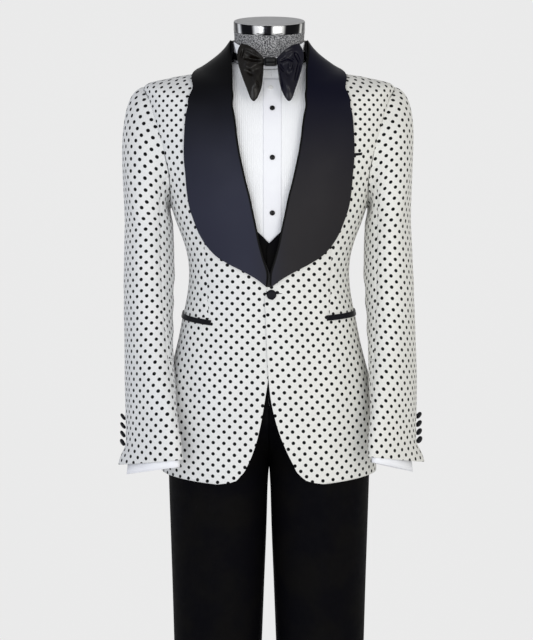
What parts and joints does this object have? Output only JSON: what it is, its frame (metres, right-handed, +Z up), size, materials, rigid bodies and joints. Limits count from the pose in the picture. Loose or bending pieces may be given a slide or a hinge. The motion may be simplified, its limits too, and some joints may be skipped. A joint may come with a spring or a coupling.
{
  "type": "tuxedo on a dress form",
  "caption": "Dinner suit with a wide shawl collar and dotted jacket, waistcoat, shirt and bow tie, on a limbless dress form with a plate stand.",
  "frame": {"origin": "centre of the stand plate's underside", "axes": "+Z up, -Y to the garment's front, +X to the wearer's left"},
  "size_m": [0.5279, 0.3, 1.6254],
  "materials": {
    "dotted_cloth": "smooth satin-faced cloth, off-white with black dots",
    "black_satin": "satin with a soft sheen",
    "black_wool": "matt fine twill",
    "white_cotton": "matt fine poplin",
    "stud_black": "gloss",
    "button_white": "pearly",
    "linen_cover": "coarse grey linen",
    "polished_band": "polished",
    "cap_grey": "satin",
    "stand_paint": "powder coat",
    "stand_steel": "brushed"
  },
  "bodies": {
    "root": {"jacket_front_left": "dotted_cloth", "jacket_front_right": "dotted_cloth", "jacket_back_left": "dotted_cloth", "jacket_back_right": "dotted_cloth", "sleeve_upper_left": "dotted_cloth", "sleeve_under_left": "dotted_cloth", "sleeve_upper_right": "dotted_cloth", "sleeve_under_right": "dotted_cloth", "shawl_left": "black_satin", "shawl_right": "black_satin", "hip_pocket_left": "black_satin", "hip_pocket_right": "black_satin", "breast_welt": "black_satin", "front_button": "black_satin", "cuff_button_left_1": "black_satin", "cuff_button_left_2": "black_satin", "cuff_button_left_3": "black_satin", "cuff_button_left_4": "black_satin", "cuff_button_right_1": "black_satin", "cuff_button_right_2": "black_satin", "cuff_button_right_3": "black_satin", "cuff_button_right_4": "black_satin", "bow_wing_left": "black_satin", "bow_wing_right": "black_satin", "bow_knot": "black_satin", "bow_band": "black_satin", "waistcoat_back": "black_satin", "waistcoat_front_left": "black_wool", "waistcoat_front_right": "black_wool", "trouser_front_left": "black_wool", "trouser_front_right": "black_wool", "trouser_back_left": "black_wool", "trouser_back_right": "black_wool", "trouser_waistband": "black_wool", "shirt_front_left": "white_cotton", "shirt_front_right": "white_cotton", "shirt_back": "white_cotton", "shirt_placket": "white_cotton", "shirt_collar": "white_cotton", "collar_wing_left": "white_cotton", "collar_wing_right": "white_cotton", "shirt_sleeve_left": "white_cotton", "shirt_sleeve_right": "white_cotton", "shirt_cuff_left": "white_cotton", "shirt_cuff_right": "white_cotton", "shirt_stud_1": "stud_black", "shirt_stud_2": "stud_black", "shirt_stud_3": "stud_black", "shirt_button": "button_white", "form_torso": "linen_cover", "neck_band": "polished_band", "neck_cap": "cap_grey", "stand_base": "stand_paint", "stand_rod_left": "stand_steel", "stand_rod_right": "stand_steel"}
  },
  "joints": []
}
